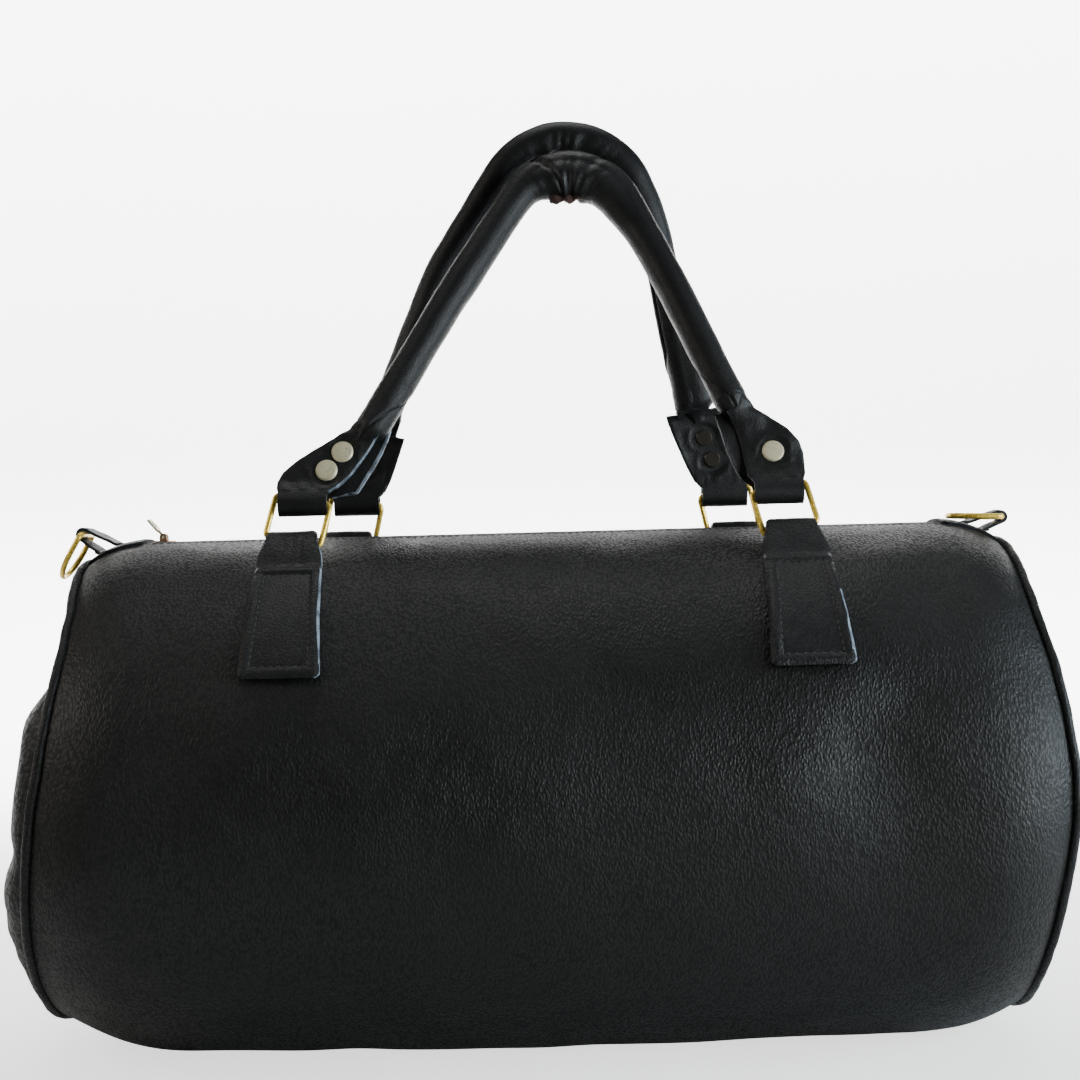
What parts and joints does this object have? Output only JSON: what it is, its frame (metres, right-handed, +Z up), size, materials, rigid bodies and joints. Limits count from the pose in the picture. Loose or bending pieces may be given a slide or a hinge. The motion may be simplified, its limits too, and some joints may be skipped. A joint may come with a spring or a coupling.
{
  "type": "barrel bag",
  "caption": "Black leather barrel bag with round ends, a top zip, two rolled handles on brass rings and a D-ring at each end.",
  "frame": {"origin": "middle of the flat strip on which the bag stands", "axes": "+X along the barrel to the right-hand end as seen from the front, -Y to the front, +Z up"},
  "size_m": [0.5056, 0.264, 0.4761],
  "materials": {
    "body_leather": "pebbled black leather with a soft sheen",
    "strap_leather": "smooth black strap leather with raw edges",
    "handle_leather": "soft black leather rolled round a cord",
    "lining_cloth": "plain woven black lining",
    "zip_tape": "black herringbone tape",
    "zip_brass": "antiqued brass",
    "rivet_brass": "pale brushed brass",
    "ring_brass": "polished yellow brass wire",
    "cord_fibre": "twisted cotton cord inside the handles"
  },
  "bodies": {
    "bag": {"body_panel": "body_leather", "body_lining": "lining_cloth", "left_end_panel": "body_leather", "right_end_panel": "body_leather", "left_end_lining": "lining_cloth", "right_end_lining": "lining_cloth", "left_piping": "strap_leather", "right_piping": "strap_leather", "zip_tape_frame": "zip_tape", "zip_stops": "zip_brass", "left_zip_end": "strap_leather", "right_zip_end": "strap_leather", "left_d_loop": "strap_leather", "right_d_loop": "strap_leather", "front_left_patch": "strap_leather", "front_right_patch": "strap_leather", "rear_left_patch": "strap_leather", "rear_right_patch": "strap_leather"},
    "front_zip_side": {"front_zip_tape": "zip_tape", "front_zip_teeth": "zip_brass"},
    "rear_zip_side": {"rear_zip_tape": "zip_tape", "rear_zip_teeth": "zip_brass"},
    "zip_slider": {"zip_slider": "zip_brass"},
    "zip_pull": {"zip_pull": "rivet_brass"},
    "left_d_ring": {"left_d_ring": "ring_brass"},
    "right_d_ring": {"right_d_ring": "ring_brass"},
    "front_left_ring": {"front_left_ring": "ring_brass"},
    "front_right_ring": {"front_right_ring": "ring_brass"},
    "front_handle": {"front_grip": "handle_leather", "front_cord": "cord_fibre", "front_left_tab": "strap_leather", "front_right_tab": "strap_leather", "front_rivets": "rivet_brass"},
    "rear_left_ring": {"rear_left_ring": "ring_brass"},
    "rear_right_ring": {"rear_right_ring": "ring_brass"},
    "rear_handle": {"rear_grip": "handle_leather", "rear_cord": "cord_fibre", "rear_left_tab": "strap_leather", "rear_right_tab": "strap_leather", "rear_rivets": "rivet_brass"}
  },
  "joints": [
    {"name": "zip_slide", "type": "slide", "parent": "bag", "child": "zip_slider", "axis": [1, 0, 0], "range_m": [0, 0.3952]},
    {"name": "zip_pull_flip", "type": "hinge", "parent": "zip_slider", "child": "zip_pull", "pos_m": [-0.1976, 0, 0.25965], "axis": [0, 1, 0], "range_deg": [0, 120]},
    {"name": "front_zip_side_lift", "type": "hinge", "parent": "bag", "child": "front_zip_side", "pos_m": [0, -0.0129, 0.25484], "axis": [1, 0, 0], "range_deg": [0, 75]},
    {"name": "rear_zip_side_lift", "type": "hinge", "parent": "bag", "child": "rear_zip_side", "pos_m": [0, 0.0129, 0.25484], "axis": [-1, 0, 0], "range_deg": [0, 75]},
    {"name": "left_d_ring_swing", "type": "hinge", "parent": "bag", "child": "left_d_ring", "pos_m": [-0.238, 0, 0.262], "axis": [0, 1, 0], "range_deg": [0, 242.8]},
    {"name": "right_d_ring_swing", "type": "hinge", "parent": "bag", "child": "right_d_ring", "pos_m": [0.238, 0, 0.259], "axis": [0, 1, 0], "range_deg": [0, 235.4]},
    {"name": "front_left_ring_swing", "type": "hinge", "parent": "bag", "child": "front_left_ring", "pos_m": [-0.124, -0.04956, 0.25511], "axis": [1, 0, 0], "range_deg": [0, 80]},
    {"name": "front_right_ring_swing", "type": "hinge", "parent": "bag", "child": "front_right_ring", "pos_m": [0.124, -0.04956, 0.25511], "axis": [1, 0, 0], "range_deg": [0, 80]},
    {"name": "front_handle_swing", "type": "hinge", "parent": "front_left_ring", "child": "front_handle", "pos_m": [-0.11883, -0.04264, 0.27643], "axis": [1, 0, 0], "range_deg": [0, 75]},
    {"name": "rear_left_ring_swing", "type": "hinge", "parent": "bag", "child": "rear_left_ring", "pos_m": [-0.106, 0.04956, 0.25511], "axis": [-1, 0, 0], "range_deg": [0, 60]},
    {"name": "rear_right_ring_swing", "type": "hinge", "parent": "bag", "child": "rear_right_ring", "pos_m": [0.106, 0.04956, 0.25511], "axis": [-1, 0, 0], "range_deg": [0, 60]},
    {"name": "rear_handle_swing", "type": "hinge", "parent": "rear_left_ring", "child": "rear_handle", "pos_m": [-0.10083, 0.048, 0.27747], "axis": [-1, 0, 0], "range_deg": [0, 75]}
  ],
  "couplings": [
    {"joint": "front_right_ring_swing", "follows": "front_left_ring_swing", "ratio": 1},
    {"joint": "rear_right_ring_swing", "follows": "rear_left_ring_swing", "ratio": 1}
  ]
}
